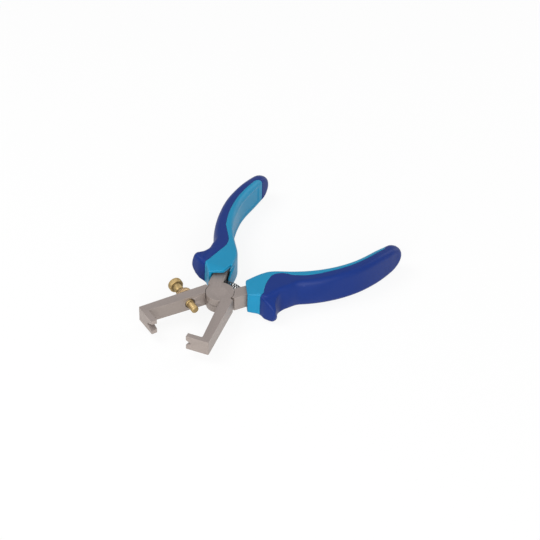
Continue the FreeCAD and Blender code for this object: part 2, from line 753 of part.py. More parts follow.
def export(items):
    """Write every sub-part to its own file once all of them are sound."""
    faults = [item.Name for item in doc.Objects if {"Invalid", "Error"} & set(item.State)]
    faults += [item.Label for item in items if item.Shape.isNull() or not item.Shape.isValid()]
    if faults:
        raise ValueError("unsound: " + ", ".join(faults))
    for item in items:
        item.Shape.exportStep(f"parts/{item.Label}.step")


def main():
    build_sheet()
    screw_lever, plain_lever = build_levers()
    rivet, screw, nut, spring = build_rivet(), build_screw(), build_nut(), build_spring()
    middle = "vector(0;0;Sizes.steel_thickness/2)"
    upright = f"placement({middle};rotation(vector(0;0;1);-Sizes.half_opening))"
    turned_over = (f"placement({middle};rotation(vector(0;0;1);Sizes.half_opening)"
                   "*rotation(vector(1;0;0);180))")
    slope = ("(Sizes.arm_outer_at_foot-Sizes.arm_outer_at_boss)"
             "/(Sizes.screw_jaw_reach-Sizes.arm_shoulder_back)")
    out = f"Sizes.arm_outer_at_boss+{slope}*(Sizes.screw_back-Sizes.arm_shoulder_back)"
    along_screw = (f"placement(vector(-Sizes.screw_back;{out};0);"
                   f"rotation(vector(0;0;1);-atan({slope}))*rotation(vector(1;0;0);-90))")
    centred = f"placement({middle};rotation(vector(0;0;1);0))"
    for item, place in ((screw_lever, upright), (plain_lever, turned_over), (rivet, centred), (spring, centred),
                        (screw, f"{upright}*{along_screw}"), (nut, f"{upright}*{along_screw}")):
        item.setExpression("Placement", place)
    grips = build_grips((("screw_side", upright), ("plain_side", turned_over)))
    doc.recompute()
    export([screw_lever, plain_lever, rivet, spring, screw, nut] + grips)


main()
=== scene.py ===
import math

import bmesh
import bpy
from bpy.props import FloatProperty, FloatVectorProperty, IntProperty, PointerProperty
from mathutils import Matrix, Vector
from mathutils.bvhtree import BVHTree


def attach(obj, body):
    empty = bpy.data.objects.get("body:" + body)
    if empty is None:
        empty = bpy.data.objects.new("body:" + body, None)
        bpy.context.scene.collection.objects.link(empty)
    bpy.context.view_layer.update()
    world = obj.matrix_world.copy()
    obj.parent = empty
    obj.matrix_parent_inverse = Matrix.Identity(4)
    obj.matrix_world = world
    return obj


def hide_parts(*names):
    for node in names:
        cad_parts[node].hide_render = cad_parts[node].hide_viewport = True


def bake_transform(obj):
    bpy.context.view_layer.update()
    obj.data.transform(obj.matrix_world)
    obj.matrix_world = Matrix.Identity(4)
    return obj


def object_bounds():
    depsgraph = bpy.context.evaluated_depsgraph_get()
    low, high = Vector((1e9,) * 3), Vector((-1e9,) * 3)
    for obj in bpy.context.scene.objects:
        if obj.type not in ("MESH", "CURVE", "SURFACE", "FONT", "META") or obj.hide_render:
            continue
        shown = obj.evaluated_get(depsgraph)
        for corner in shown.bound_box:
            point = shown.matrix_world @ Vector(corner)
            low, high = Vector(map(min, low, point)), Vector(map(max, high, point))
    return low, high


bl_info = {
    "name": "End wire stripper",
    "version": (1, 0, 0),
    "blender": (4, 5, 0),
    "location": "3D Viewport > Sidebar > Stripper",
    "description": "Dresses an adjustable end wire stripper: steel levers, brass screw and two-tone grips",
    "category": "Object",
}

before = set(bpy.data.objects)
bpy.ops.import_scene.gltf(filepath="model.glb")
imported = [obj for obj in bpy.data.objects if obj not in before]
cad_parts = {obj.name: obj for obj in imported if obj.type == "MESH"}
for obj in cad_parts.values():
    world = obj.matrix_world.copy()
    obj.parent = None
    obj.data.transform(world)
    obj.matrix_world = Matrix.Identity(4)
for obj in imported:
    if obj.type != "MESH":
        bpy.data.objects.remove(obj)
CAD_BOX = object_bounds()

MM = 0.001

# Places that the levers share with the frame: the mid-plane of the steel, how far each handle is
# turned out, and the reach of the rivet's heads.
PIVOT_HEIGHT = 4.7 * MM
HALF_OPENING = math.radians(17.75)
RIVET_ROOM = 4.6 * MM
SPRING_HALF_TURN = math.radians(39.6)
STEPS_PER_COIL = 18

# The adjusting screw crosses its arm SCREW_BACK away from the pivot, towards the jaw. The arm's outer
# side runs straight from ARM_NEAR by the pivot to ARM_FAR by the jaw. Millimetres.
SCREW_BACK = 17.25
ARM_NEAR, ARM_NEAR_OUT = 3.7, 9.9
ARM_FAR, ARM_FAR_OUT = 47.4, 12.2
SCREW_SLOPE = (ARM_FAR_OUT - ARM_NEAR_OUT) / (ARM_FAR - ARM_NEAR)
SCREW_OUT = ARM_NEAR_OUT + SCREW_SLOPE * (SCREW_BACK - ARM_NEAR)

# Turned profiles of the adjusting screw, as heights above the arm's outer side and radii, and its
# thread between them. Millimetres.
DOG = ((-13.2, 1.05), (-13.2, 1.75), (-12.9, 2.05), (-12.7, 2.2), (-7.3, 2.2), (-7.2, 2.2))
NECK = ((6.0, 2.0), (6.5, 2.0), (6.7, 2.65), (10.6, 2.65), (10.75, 2.75), (10.85, 3.4), (10.9, 3.95))
KNOB_END = ((14.32, 3.95), (14.4, 3.7), (14.4, 3.2), (14.2, 3.0), (14.2, 1.0))
THREAD_FROM, THREAD_TO = -7.15, 5.8
THREAD_ROOT, THREAD_DEPTH = 2.08, 0.40
STEPS_PER_PITCH = 8
STEPS_PER_KNOB_TOOTH = 4
STEPS_PER_NUT_TOOTH = 6

# Plan of the notch in the mouth's lip, and the heights it spans, in millimetres of the handle's frame.
NOTCH = ((12.0, -4.6), (15.0, -4.2), (23.0, -1.6), (17.0, -0.7), (12.0, -0.4))
NOTCH_HEIGHTS = (-12.0, -5.0)

# The photo's camera: the direction it looks from, its roll, its lens in pixels of a picture of
# PICTURE pixels a side, its distance, and where in the picture a point over the pivot is seen.
VIEW_HEIGHT = 5.1 * MM
VIEW_TURN, VIEW_LIFT, VIEW_ROLL = (math.radians(angle) for angle in (-50.25, 39.80, -1.17))
VIEW_FOCAL, VIEW_DISTANCE = 1955.74, 1.1443
PIVOT_SEEN = (219.907, 297.149)
PICTURE = 540.0
SENSOR = 36.0

# Half the height of a grip, the distance of its outer side from the handle's axis, and half the
# height over which that side swells. Millimetres.
GRIP_HALF = 9.9
GRIP_OUTER = 20.4
SWELL_HALF = 9.0


def length(name, text, default):
    return FloatProperty(name=name, description=text, default=default * MM, min=0.0,
                         unit="LENGTH", precision=5)


def colour(name, text, default):
    return FloatVectorProperty(name=name, description=text, default=default, subtype="COLOR", size=3,
                               min=0.0, max=1.0)


class StripperSizes(bpy.types.PropertyGroup):
    steel_edge: length("Steel edge", "Width of the broken edges on the levers", 0.22)
    rivet_edge: length("Rivet edge", "Width of the broken edges on the rivet", 0.02)
    wire_radius: length("Spring wire", "Radius of the spring's wire", 0.28)
    coil_radius: length("Spring coil", "Radius from the coil's centre line to the wire", 1.6)
    spring_reach: length("Spring reach", "Distance of the coil from the pivot axis", 13.3)
    spring_turns: IntProperty(name="Spring turns", description="Turns of the coil between its two seats",
                              default=12, min=3, max=24)
    knob_teeth: IntProperty(name="Knob teeth", description="Knurl teeth round the knob",
                            default=48, min=12, max=90)
    nut_teeth: IntProperty(name="Nut teeth", description="Knurl teeth round the lock nut",
                           default=36, min=12, max=90)
    thread_pitch: length("Thread pitch", "Pitch of the adjusting screw's thread", 0.8)
    grip_grid: length("Grip grid", "Grid on which the moulded edges of the grips are rounded", 0.36)
    grip_passes: IntProperty(name="Grip smoothing", description="Rounds of smoothing on the grips",
                             default=18, min=0, max=30)
    grip_swell: length("Grip swell", "How far the outer side of a grip swells at half its height", 1.5)


class StripperColours(bpy.types.PropertyGroup):
    steel: colour("Steel", "Satin steel", (0.350, 0.298, 0.270))
    brass: colour("Brass", "Turned brass", (0.50, 0.36, 0.165))
    nut_brass: colour("Nut brass", "Lock nut, a little redder", (0.46, 0.33, 0.19))
    light_blue: colour("Light core", "Light-blue grip core", (0.003, 0.205, 0.370))
    dark_blue: colour("Dark sleeve", "Dark-blue grip sleeve", (0.002, 0.021, 0.152))
    spring_black: colour("Spring", "Blackened spring wire", (0.012, 0.012, 0.013))


class Nodes:
    """Small helper that adds nodes to a tree and links them by socket name."""

    def __init__(self, tree):
        self.tree = tree

    def add(self, kind, **settings):
        node = self.tree.nodes.new(kind)
        for key, value in settings.items():
            if key in node.inputs:
                node.inputs[key].default_value = value
            else:
                setattr(node, key, value)
        return node

    def link(self, out_socket, in_socket):
        self.tree.links.new(out_socket, in_socket)

    def maths(self, operation, a, b=0.0, clamp=False):
        node = self.tree.nodes.new("ShaderNodeMath")
        node.operation = operation
        node.use_clamp = clamp
        for socket, value in zip(node.inputs, (a, b)):
            if isinstance(value, (int, float)):
                socket.default_value = value
            else:
                self.link(value, socket)
        return node.outputs[0]

    def mix(self, factor, a, b, kind="MIX"):
        node = self.tree.nodes.new("ShaderNodeMix")
        node.data_type = "RGBA"
        node.blend_type = kind
        for socket, value in ((node.inputs["Factor"], factor), (node.inputs[6], a), (node.inputs[7], b)):
            if isinstance(value, (int, float)):
                socket.default_value = value
            elif isinstance(value, tuple):
                socket.default_value = (*value, 1.0)[:4]
            else:
                self.link(value, socket)
        return node.outputs[2]


def new_group(name, inputs, outputs):
    """Shader node group with named sockets; returns the group, its helper and both ends."""
    group = bpy.data.node_groups.new(name, "ShaderNodeTree")
    for label, kind, default in inputs:
        socket = group.interface.new_socket(label, in_out="INPUT", socket_type=kind)
        if default is not None:
            socket.default_value = default
    for label, kind in outputs:
        group.interface.new_socket(label, in_out="OUTPUT", socket_type=kind)
    nodes = Nodes(group)
    return group, nodes, nodes.add("NodeGroupInput"), nodes.add("NodeGroupOutput")


def grain_group():
    """Fine grain of a ground, turned or moulded surface: a mask and a height."""
    if "Surface grain" in bpy.data.node_groups:
        return bpy.data.node_groups["Surface grain"]
    group, nodes, start, end = new_group(
        "Surface grain",
        [("Grain per metre", "NodeSocketFloat", 4000.0), ("Stretch", "NodeSocketVector", (1.0, 1.0, 1.0)),
         ("Depth", "NodeSocketFloat", 1.0)],
        [("Mask", "NodeSocketFloat"), ("Height", "NodeSocketFloat")])
    place = nodes.add("ShaderNodeTexCoord")
    stretch = nodes.add("ShaderNodeVectorMath", operation="MULTIPLY")
    nodes.link(place.outputs["Object"], stretch.inputs[0])
    nodes.link(start.outputs["Stretch"], stretch.inputs[1])
    noise = nodes.add("ShaderNodeTexNoise", Detail=4.0, Roughness=0.6)
    nodes.link(stretch.outputs[0], noise.inputs["Vector"])
    nodes.link(start.outputs["Grain per metre"], noise.inputs["Scale"])
    nodes.link(noise.outputs["Fac"], end.inputs["Mask"])
    nodes.link(nodes.maths("MULTIPLY", noise.outputs["Fac"], start.outputs["Depth"]), end.inputs["Height"])
    return group


def drift_group():
    """Slow change of tone over a piece, as handling and moulding leave it."""
    if "Tone drift" in bpy.data.node_groups:
        return bpy.data.node_groups["Tone drift"]
    group, nodes, start, end = new_group(
        "Tone drift",
        [("Color", "NodeSocketColor", (0.5, 0.5, 0.5, 1.0)), ("Patches per metre", "NodeSocketFloat", 60.0),
         ("Amount", "NodeSocketFloat", 0.1)],
        [("Color", "NodeSocketColor"), ("Mask", "NodeSocketFloat")])
    place = nodes.add("ShaderNodeTexCoord")
    noise = nodes.add("ShaderNodeTexNoise", Detail=3.0, Roughness=0.55)
    nodes.link(place.outputs["Object"], noise.inputs["Vector"])
    nodes.link(start.outputs["Patches per metre"], noise.inputs["Scale"])
    centred = nodes.maths("SUBTRACT", noise.outputs["Fac"], 0.5)
    gain = nodes.maths("ADD", nodes.maths("MULTIPLY", centred, start.outputs["Amount"]), 1.0)
    scale = nodes.add("ShaderNodeVectorMath", operation="SCALE")
    nodes.link(start.outputs["Color"], scale.inputs[0])
    nodes.link(gain, scale.inputs["Scale"])
    nodes.link(scale.outputs[0], end.inputs["Color"])
    nodes.link(noise.outputs["Fac"], end.inputs["Mask"])
    return group


def edge_light_group():
    """Mask of sharp convex edges, broken up by noise, for painted edge highlights and, turned round, painted
    shade away from them.
    """
    if "Edge light mask" in bpy.data.node_groups:
        return bpy.data.node_groups["Edge light mask"]
    group, nodes, start, end = new_group(
        "Edge light mask",
        [("From", "NodeSocketFloat", 0.52), ("To", "NodeSocketFloat", 0.60),
         ("Breaks per metre", "NodeSocketFloat", 900.0)],
        [("Mask", "NodeSocketFloat")])
    # Pointiness finds the edges that get a painted highlight and the hollows that get painted shade.
    shape = nodes.add("ShaderNodeNewGeometry")
    ramp = nodes.add("ShaderNodeMapRange", clamp=True)
    nodes.link(shape.outputs["Pointiness"], ramp.inputs["Value"])
    nodes.link(start.outputs["From"], ramp.inputs["From Min"])
    nodes.link(start.outputs["To"], ramp.inputs["From Max"])
    place = nodes.add("ShaderNodeTexCoord")
    noise = nodes.add("ShaderNodeTexNoise", Detail=3.0)
    nodes.link(place.outputs["Object"], noise.inputs["Vector"])
    nodes.link(start.outputs["Breaks per metre"], noise.inputs["Scale"])
    gaps = nodes.maths("ADD", noise.outputs["Fac"], 0.25)
    nodes.link(nodes.maths("MULTIPLY", ramp.outputs[0], gaps, clamp=True), end.inputs["Mask"])
    return group


def use_group(nodes, group, **inputs):
    node = nodes.tree.nodes.new("ShaderNodeGroup")
    node.node_tree = group
    for label, value in inputs.items():
        node.inputs[label.replace("_", " ")].default_value = value
    return node


def new_material(name):
    """Empty material with a Principled surface; returns the material, its helper and the surface."""
    material = bpy.data.materials.new(name)
    material.use_nodes = True
    material.node_tree.nodes.clear()
    nodes = Nodes(material.node_tree)
    surface = nodes.add("ShaderNodeBsdfPrincipled")
    output = nodes.add("ShaderNodeOutputMaterial")
    nodes.link(surface.outputs[0], output.inputs["Surface"])
    return material, nodes, surface


def finish_surface(nodes, surface, colour_socket, rough, rough_spread, grain, bump, distance):
    """Join colour, grain-driven roughness and a fine bump to a Principled surface."""
    nodes.link(colour_socket, surface.inputs["Base Color"])
    spread = nodes.maths("MULTIPLY", nodes.maths("SUBTRACT", grain.outputs["Mask"], 0.5), rough_spread)
    nodes.link(nodes.maths("ADD", spread, rough, clamp=True), surface.inputs["Roughness"])
    node = nodes.add("ShaderNodeBump", Strength=bump, Distance=distance)
    nodes.link(grain.outputs["Height"], node.inputs["Height"])
    nodes.link(node.outputs["Normal"], surface.inputs["Normal"])


def steel_material(name, base, rough=0.42):
    """Satin steel: warm grey, fine grain, with painted shade on the faces that point up or down and a painted
    highlight on sharp convex edges.
    """
    material, nodes, surface = new_material(name)
    axes = nodes.add("ShaderNodeSeparateXYZ")
    nodes.link(nodes.add("ShaderNodeTexCoord").outputs["Normal"], axes.inputs[0])
    # Painted shade: faces that point up or down keep 80 per cent of the colour, the sides all of it.
    painted_flat_shade = nodes.mix(nodes.maths("ABSOLUTE", axes.outputs["Z"]), (1.0, 1.0, 1.0), (0.80, 0.80, 0.82))
    drift = use_group(nodes, drift_group(), Color=(*base, 1.0), Patches_per_metre=90.0, Amount=0.16)
    grain = use_group(nodes, grain_group(), Grain_per_metre=1500.0, Depth=1.0)
    edge_mask = use_group(nodes, edge_light_group(), From=0.53, To=0.62)
    # Painted highlight: sharp convex edges are lightened towards half again the steel's colour, broken up by
    # noise.
    steel_edge_highlight = tuple(min(1.0, channel * 1.55) for channel in base)
    mottled = nodes.mix(nodes.maths("MULTIPLY", grain.outputs["Mask"], 0.7), drift.outputs["Color"],
                        tuple(channel * 0.62 for channel in base))
    steel_edge_lit = nodes.mix(nodes.maths("MULTIPLY", edge_mask.outputs["Mask"], 0.6), mottled, steel_edge_highlight)
    surface.inputs["Metallic"].default_value = 0.5
    flat_shaded_steel = nodes.mix(1.0, steel_edge_lit, painted_flat_shade, kind="MULTIPLY")
    finish_surface(nodes, surface, flat_shaded_steel, rough, 0.25, grain, 0.25, 0.00003)
    return material


def brass_material(name, base, rough=0.50):
    """Turned brass with faint lathe marks and painted shade in its hollows and knurl grooves."""
    material, nodes, surface = new_material(name)
    drift = use_group(nodes, drift_group(), Color=(*base, 1.0), Patches_per_metre=240.0, Amount=0.3)
    grain = use_group(nodes, grain_group(), Grain_per_metre=5000.0, Depth=1.0)
    edge_mask = use_group(nodes, edge_light_group(), From=0.45, To=0.53)
    # Painted shade: away from sharp convex edges, and most of all in hollows and knurl grooves, the brass
    # darkens towards 30 per cent of its colour, broken up by noise.
    brass_hollow_shade = tuple(channel * 0.30 for channel in base)
    brass_shaded = nodes.mix(edge_mask.outputs["Mask"], brass_hollow_shade, drift.outputs["Color"])
    surface.inputs["Metallic"].default_value = 0.9
    finish_surface(nodes, surface, brass_shaded, rough, 0.2, grain, 0.2, 0.00002)
    return material


def moulded_material(name, base, rough, specular, grain_size, bump):
    """Moulded plastic or rubber with a fine eroded texture and a painted highlight on its convex edges."""
    material, nodes, surface = new_material(name)
    drift = use_group(nodes, drift_group(), Color=(*base, 1.0), Patches_per_metre=45.0, Amount=0.22)
    grain = use_group(nodes, grain_group(), Grain_per_metre=grain_size, Depth=1.0)
    edge_mask = use_group(nodes, edge_light_group(), From=0.52, To=0.60)
    # Painted highlight: convex edges are lightened up to 45 per cent of the way to a paler colour.
    plastic_edge_highlight = tuple(min(1.0, channel * 1.2 + 0.03) for channel in base)
    plastic_edge_lit = nodes.mix(nodes.maths("MULTIPLY", edge_mask.outputs["Mask"], 0.45), drift.outputs["Color"], plastic_edge_highlight)
    surface.inputs["Specular IOR Level"].default_value = specular
    finish_surface(nodes, surface, plastic_edge_lit, rough, 0.16, grain, bump, 0.00004)
    return material


def wire_material(name, base):
    """Oil-blackened spring wire."""
    material, nodes, surface = new_material(name)
    drift = use_group(nodes, drift_group(), Color=(*base, 1.0), Patches_per_metre=500.0, Amount=0.5)
    grain = use_group(nodes, grain_group(), Grain_per_metre=7000.0, Depth=1.0)
    surface.inputs["Metallic"].default_value = 0.4
    finish_surface(nodes, surface, drift.outputs["Color"], 0.35, 0.2, grain, 0.15, 0.00002)
    return material


def colours():
    return bpy.context.scene.stripper_colours


def sizes():
    return bpy.context.scene.stripper_sizes


def new_piece(name, mesh, material):
    piece = bpy.data.objects.new(name, mesh)
    bpy.context.scene.collection.objects.link(piece)
    mesh.materials.clear()
    mesh.materials.append(material)
    return piece


def place(piece, body, node, slot):
    """Fix a finished piece to its body in place of a node of the frame."""
    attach(piece, body)
    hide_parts(node)


def broken_edges(node, name, width, material, least=28.0):
    """Copy a steel node, tidy its flat faces and break its sharp edges."""
    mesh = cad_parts[node].data.copy()
    mesh.name = name
    work = bmesh.new()
    work.from_mesh(mesh)
    bmesh.ops.remove_doubles(work, verts=work.verts, dist=0.000002)
    bmesh.ops.dissolve_limit(work, angle_limit=math.radians(0.6), verts=work.verts, edges=work.edges)
    sharp = [edge for edge in work.edges
             if len(edge.link_faces) == 2 and edge.calc_face_angle(0.0) > math.radians(least)
             and any(vertex.co.xy.length > RIVET_ROOM for vertex in edge.verts)]
    bmesh.ops.bevel(work, geom=sharp, offset=width, offset_type="OFFSET", segments=2, profile=0.5,
                    affect="EDGES", clamp_overlap=True)
    for face in work.faces:
        face.smooth = True
    bmesh.ops.recalc_face_normals(work, faces=work.faces)
    work.to_mesh(mesh)
    work.free()
    piece = new_piece(name, mesh, material)
    normals = piece.modifiers.new("Flat faces", "WEIGHTED_NORMAL")
    normals.keep_sharp = False
    normals.weight = 80
    return piece


def screw_frame():
    """Place and heading of the adjusting screw: height 0 at the arm's outer side."""
    turn = Matrix.Rotation(-HALF_OPENING, 4, "Z")
    face = turn @ Vector((-SCREW_BACK * MM, SCREW_OUT * MM, 0.0))
    outward = (turn @ Vector((SCREW_SLOPE, 1.0, 0.0))).normalized()
    heading = outward.to_track_quat("Z", "Y").to_matrix().to_4x4()
    return Matrix.Translation(face + Vector((0, 0, PIVOT_HEIGHT))) @ heading


def lathe(rows, around):
    """Closed turned piece; each row gives a height and a function from angle to radius."""
    work = bmesh.new()
    rings = []
    for height, radius in rows:
        ring = []
        for step in range(around):
            angle = 2 * math.pi * step / around
            out = radius(angle) if callable(radius) else radius
            ring.append(work.verts.new((out * math.cos(angle), out * math.sin(angle), height)))
        rings.append(ring)
    for low, high in zip(rings, rings[1:]):
        for step in range(around):
            nxt = (step + 1) % around
            work.faces.new((low[step], low[nxt], high[nxt], high[step]))
    work.faces.new(rings[0][::-1])
    work.faces.new(rings[-1])
    return work


def finish_lathe(work, name, material):
    for face in work.faces:
        face.smooth = True
    for edge in work.edges:
        if edge.calc_face_angle(0.0) > math.radians(40.0):
            edge.smooth = False
    bmesh.ops.recalc_face_normals(work, faces=work.faces)
    mesh = bpy.data.meshes.new(name)
    work.to_mesh(mesh)
    work.free()
    piece = new_piece(name, mesh, material)
    piece.matrix_world = screw_frame()
    return piece


def turned(profile):
    """Rows of a lathe from a profile of heights and radii in millimetres."""
    return [(height * MM, radius * MM) for height, radius in profile]


def thread_rows(pitch):
    """Rows of the adjusting screw's thread, which runs out over its first and last turn."""
    low, high = THREAD_FROM * MM, THREAD_TO * MM
    count = int((high - low) / pitch * STEPS_PER_PITCH)
    rows = []
    for step in range(count + 1):
        height = low + (high - low) * step / count
        fade = min(1.0, step / STEPS_PER_PITCH, (count - step) / STEPS_PER_PITCH)

        def radius(angle, height=height, fade=fade):
            wave = 0.5 + 0.5 * math.cos(2 * math.pi * height / pitch - angle)
            return (THREAD_ROOT + fade * THREAD_DEPTH * wave) * MM
        rows.append((height, radius))
    return rows


def tooth(mean, depth, count):
    """Radius of a knurled rim as a rounded sawtooth round the axis."""
    def radius(angle):
        return mean - depth * (0.5 - 0.5 * math.cos(count * angle)) ** 1.4
    return radius


class STRIPPER_OT_levers(bpy.types.Operator):
    """Break the edges of both levers and the rivet and give them ground steel"""

    bl_idname = "stripper.levers"
    bl_label = "Steel levers"

    def execute(self, context):
        steel = steel_material("Ground steel", tuple(colours().steel))
        for node, body in (("screw_lever", "screw_side"), ("plain_lever", "plain_side"),
                           ("pivot_rivet", "screw_side")):
            width = sizes().rivet_edge if node == "pivot_rivet" else sizes().steel_edge
            piece = broken_edges(node, f"{node}_steel", width, steel)
            place(piece, body, node, "head_steel")
        return {"FINISHED"}


class STRIPPER_OT_spring(bpy.types.Operator):
    """Wind the return spring along its arc between the tangs"""

    bl_idname = "stripper.spring"
    bl_label = "Return spring"

    def execute(self, context):
        made = sizes()
        reach = made.spring_reach
        end = SPRING_HALF_TURN
        steps = made.spring_turns * STEPS_PER_COIL
        curve = bpy.data.curves.new("return_spring_wire", "CURVE")
        curve.dimensions = "3D"
        curve.bevel_depth = made.wire_radius
        curve.bevel_resolution = 3
        curve.use_fill_caps = True
        line = curve.splines.new("POLY")
        line.points.add(steps)
        for step in range(steps + 1):
            share = step / steps
            along = -end + 2 * end * share
            wind = 2 * math.pi * made.spring_turns * share
            out = reach + made.coil_radius * math.cos(wind)
            line.points[step].co = (out * math.cos(along), out * math.sin(along),
                                    PIVOT_HEIGHT + made.coil_radius * math.sin(wind), 1.0)
        holder = bpy.data.objects.new("return_spring_line", curve)
        bpy.context.scene.collection.objects.link(holder)
        bpy.context.view_layer.update()
        depsgraph = bpy.context.evaluated_depsgraph_get()
        mesh = bpy.data.meshes.new_from_object(holder.evaluated_get(depsgraph))
        bpy.data.objects.remove(holder)
        for face in mesh.polygons:
            face.use_smooth = True
        black = wire_material("Blackened wire", tuple(colours().spring_black))
        piece = new_piece("return_spring_wire", mesh, black)
        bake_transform(piece)
        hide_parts("return_spring")
        return {"FINISHED"}


class STRIPPER_OT_screw(bpy.types.Operator):
    """Turn the adjusting screw with its knurled knob, neck, thread and dog point"""

    bl_idname = "stripper.screw"
    bl_label = "Adjusting screw"

    def execute(self, context):
        made = sizes()
        knob = tooth(4.3 * MM, 0.18 * MM, made.knob_teeth)
        shoulder = tooth(4.15 * MM, 0.02 * MM, made.knob_teeth)
        rows = turned(DOG) + thread_rows(made.thread_pitch) + turned(NECK)
        rows += [(11.05 * MM, shoulder), (11.25 * MM, knob), (13.9 * MM, knob), (14.15 * MM, shoulder)]
        rows += turned(KNOB_END)
        work = lathe(rows, made.knob_teeth * STEPS_PER_KNOB_TOOTH)
        brass = brass_material("Turned brass", tuple(colours().brass))
        piece = finish_lathe(work, "adjusting_screw_brass", brass)
        place(piece, "screw", "adjusting_screw", "screw_brass")
        return {"FINISHED"}


class STRIPPER_OT_nut(bpy.types.Operator):
    """Turn the round lock nut and cut its coarse knurl"""

    bl_idname = "stripper.nut"
    bl_label = "Lock nut"

    def execute(self, context):
        made = sizes()
        edge = tooth(4.6 * MM, 0.05 * MM, made.nut_teeth)
        full = tooth(5.2 * MM, 0.5 * MM, made.nut_teeth)
        rows = turned(((0.05, 2.6), (0.05, 3.9), (0.1, 4.05)))
        rows += [(0.3 * MM, edge), (0.55 * MM, full), (2.95 * MM, full), (3.2 * MM, edge)]
        rows += turned(((3.4, 4.05), (3.45, 3.9), (3.45, 2.9), (3.2, 2.6)))
        work = lathe(rows, made.nut_teeth * STEPS_PER_NUT_TOOTH)
        piece = finish_lathe(work, "lock_nut_brass", brass_material("Nut brass", tuple(colours().nut_brass)))
        place(piece, "nut", "lock_nut", "screw_brass")
        return {"FINISHED"}


def settle(piece):
    """Turn a piece's modifiers into its mesh."""
    before = piece.data
    bpy.context.view_layer.update()
    after = bpy.data.meshes.new_from_object(piece.evaluated_get(bpy.context.evaluated_depsgraph_get()))
    piece.modifiers.clear()
    piece.data = after
    after.name = piece.name
    bpy.data.meshes.remove(before)


def cut_notch(piece, side):
    """Open the lip of the mouth beside the tang, on the face that the handle's frame counts as lower."""
    work = bmesh.new()
    rings = [[work.verts.new(handle_frame(side) @ (Vector((x, y, z)) * MM)) for x, y in NOTCH]
             for z in NOTCH_HEIGHTS]
    work.faces.new(rings[0])
    work.faces.new(rings[1][::-1])
    for step in range(len(NOTCH)):
        nxt = (step + 1) % len(NOTCH)
        work.faces.new((rings[0][step], rings[1][step], rings[1][nxt], rings[0][nxt]))
    bmesh.ops.recalc_face_normals(work, faces=work.faces)
    mesh = bpy.data.meshes.new("notch")
    work.to_mesh(mesh)
    work.free()
    tool = bpy.data.objects.new("notch", mesh)
    bpy.context.scene.collection.objects.link(tool)
    cut = piece.modifiers.new("Notch", "BOOLEAN")
    cut.operation = "DIFFERENCE"
    cut.solver = "EXACT"
    cut.object = tool
    settle(piece)
    bpy.data.objects.remove(tool)


def softened(node, partner, side, name, material):
    """Copy a grip node and round its moulded edges on a fine grid, but not where it meets its partner."""
    piece = new_piece(name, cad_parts[node].data.copy(), material)
    if node.endswith("core"):
        cut_notch(piece, side)
    grid = piece.modifiers.new("Grid", "REMESH")
    grid.mode = "VOXEL"
    grid.voxel_size = sizes().grip_grid
    grid.use_smooth_shade = True
    settle(piece)
    other = bmesh.new()
    other.from_mesh(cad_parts[partner].data)
    joint = BVHTree.FromBMesh(other)
    free = piece.vertex_groups.new(name="Free of the seam")
    root = piece.vertex_groups.new(name="Guard root")
    back = handle_frame(side).inverted()
    for vertex in piece.data.vertices:
        away = ramp(joint.find_nearest(vertex.co)[3] / MM, 0.3, 1.6)
        free.add([vertex.index], away, "REPLACE")
        x, y, z = (back @ vertex.co) / MM
        near = between(x, (14.0, 18.0), (28.0, 36.0)) * between(-y, (14.0, 18.0), (22.0, 25.0))
        root.add([vertex.index], near * away, "REPLACE")
    other.free()
    soft = piece.modifiers.new("Rounding", "SMOOTH")
    soft.iterations = sizes().grip_passes
    soft.factor = 0.5
    soft.vertex_group = free.name
    blend = piece.modifiers.new("Guard blend", "SMOOTH")
    blend.iterations = 60
    blend.factor = 0.5
    blend.vertex_group = root.name
    settle(piece)
    piece.vertex_groups.clear()
    return piece


def handle_frame(side):
    """Placement of one handle's own frame: mid-plane at height 0, outer side towards -Y."""
    lift = Matrix.Translation((0, 0, PIVOT_HEIGHT))
    if side == "screw_side":
        return lift @ Matrix.Rotation(-HALF_OPENING, 4, "Z")
    return lift @ Matrix.Rotation(HALF_OPENING, 4, "Z") @ Matrix.Rotation(math.pi, 4, "X")


def ramp(value, low, high):
    """Smooth step from 0 at low to 1 at high."""
    share = min(1.0, max(0.0, (value - low) / (high - low)))
    return share * share * (3 - 2 * share)


def between(value, rise, fall):
    """1 between two slopes and 0 outside them; each slope is a pair of places."""
    return ramp(value, *rise) * (1 - ramp(value, *fall))


def swell_outer(x, y, z):
    """Swell the outer side behind the guard, most at half its height."""
    along = between(x, (24.0, 38.0), (48.0, 70.0)) * ramp(-y, 8.0, 20.0)
    height = min(1.0, abs(z) / SWELL_HALF)
    return x, y - sizes().grip_swell / MM * along * (1 - height ** 2), z


def thin_collar(x, y, z):
    """Thin the collar, more on its upper face, and draw its inner side in towards the tang."""
    above, below = 0.17, 0.05
    z *= 1 - (above if z > 0 else below) * (1 - ramp(x, 12.0, 34.0)) * ramp(abs(z), 5.0, 8.0)
    inner = ramp(y, -3.5, 0.8) * (1 - ramp(x, 28.0, 40.0))
    mouth = 1 - ramp(x, 9.0, 16.0)
    return x, y - (0.9 + 1.0 * mouth) * inner, z


def round_guard(x, y, z):
    """Lean the guard's heel forwards on the upper face and dome the guard towards the lower one."""
    fin = between(x, (14.0, 18.0), (26.0, 33.0)) * ramp(-y, 15.0, 21.0)
    heel = between(x, (20.0, 24.0), (27.0, 36.0)) * ramp(-y, 20.0, 24.0)
    x += (0.3 - 1.5 * ramp(z, -6.0, 0.0)) * heel
    if z < 0:
        low = min(1.0, -z / 8.4)
        out = max(0.0, -y - GRIP_OUTER)
        y += out * (1 - math.sqrt(1 - (0.78 * low) ** 2)) * (1 - ramp(x, 26.0, 33.0))
        z *= 1 + 0.22 * fin
    return x, y, z


